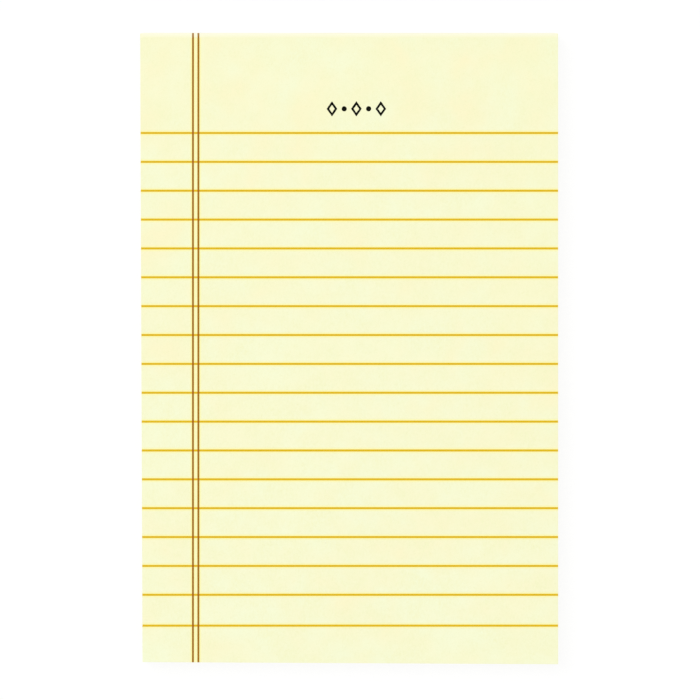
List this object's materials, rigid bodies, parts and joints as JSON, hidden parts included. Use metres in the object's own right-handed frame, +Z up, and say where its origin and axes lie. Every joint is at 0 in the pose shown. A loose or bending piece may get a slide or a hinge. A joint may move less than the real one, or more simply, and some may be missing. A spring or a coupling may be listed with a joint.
{
  "type": "ruled notepad",
  "caption": "Small top-glued writing pad: pale yellow ruled leaves with margin lines on a chipboard backing board.",
  "frame": {"origin": "centre of the pad's underside, glue film included", "axes": "+X to the right of the writing face, +Y to the glued head, +Z up out of the writing face"},
  "size_m": [0.101, 0.1526, 0.0068],
  "materials": {
    "paper": "uncoated pale yellow writing paper, printed with golden rules and brown margin lines",
    "chipboard": "raw grey-brown recycled chipboard with fibre flecks",
    "padding_glue": "dried milky padding glue, thin and satin"
  },
  "bodies": {
    "root": {"page_block": "paper", "backing_board": "chipboard", "glue_binding": "padding_glue"}
  },
  "joints": []
}
